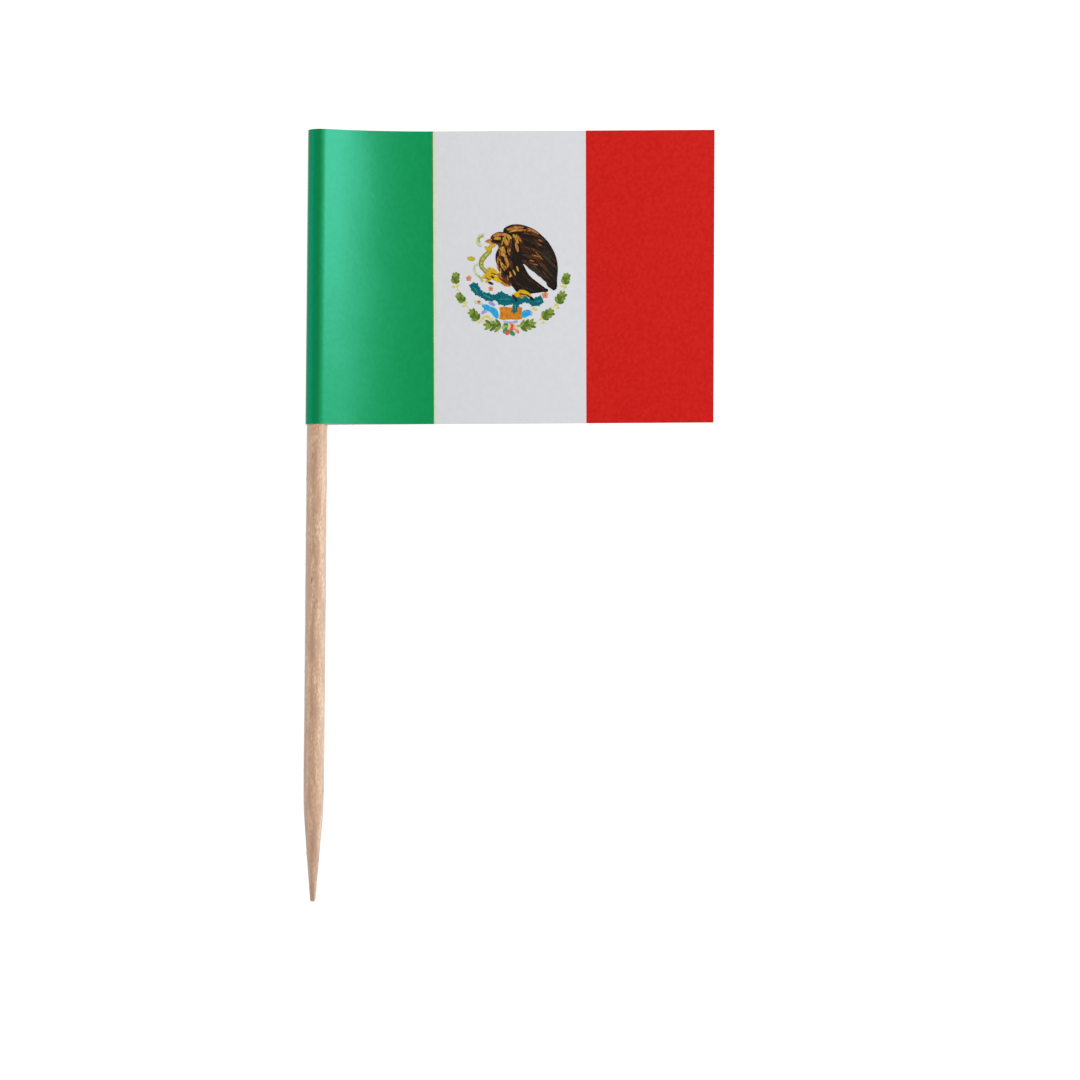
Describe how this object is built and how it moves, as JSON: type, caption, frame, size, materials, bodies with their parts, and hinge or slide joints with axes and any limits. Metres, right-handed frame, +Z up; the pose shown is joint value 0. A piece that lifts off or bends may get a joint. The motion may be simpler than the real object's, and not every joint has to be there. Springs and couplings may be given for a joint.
{
  "type": "flag toothpick",
  "caption": "Round wooden toothpick with a small rectangular paper flag folded round its blunt end and glued to itself.",
  "frame": {"origin": "on the table, under the middle of the whole toothpick's outline, as it lies on the flag's back leaf", "axes": "+Y along the pick from its point to its blunt end, +X from the pick to the flag's free edge, +Z up out of the flag's front"},
  "size_m": [0.0348, 0.0662, 0.002],
  "materials": {
    "wood": "turned and tumbled birch, raw, with fine lengthwise fibres",
    "paper": "coated paper with a slight gloss, printed in upright stripes of green, white and red"
  },
  "bodies": {
    "root": {"wooden_pick": "wood", "paper_flag": "paper"}
  },
  "joints": []
}
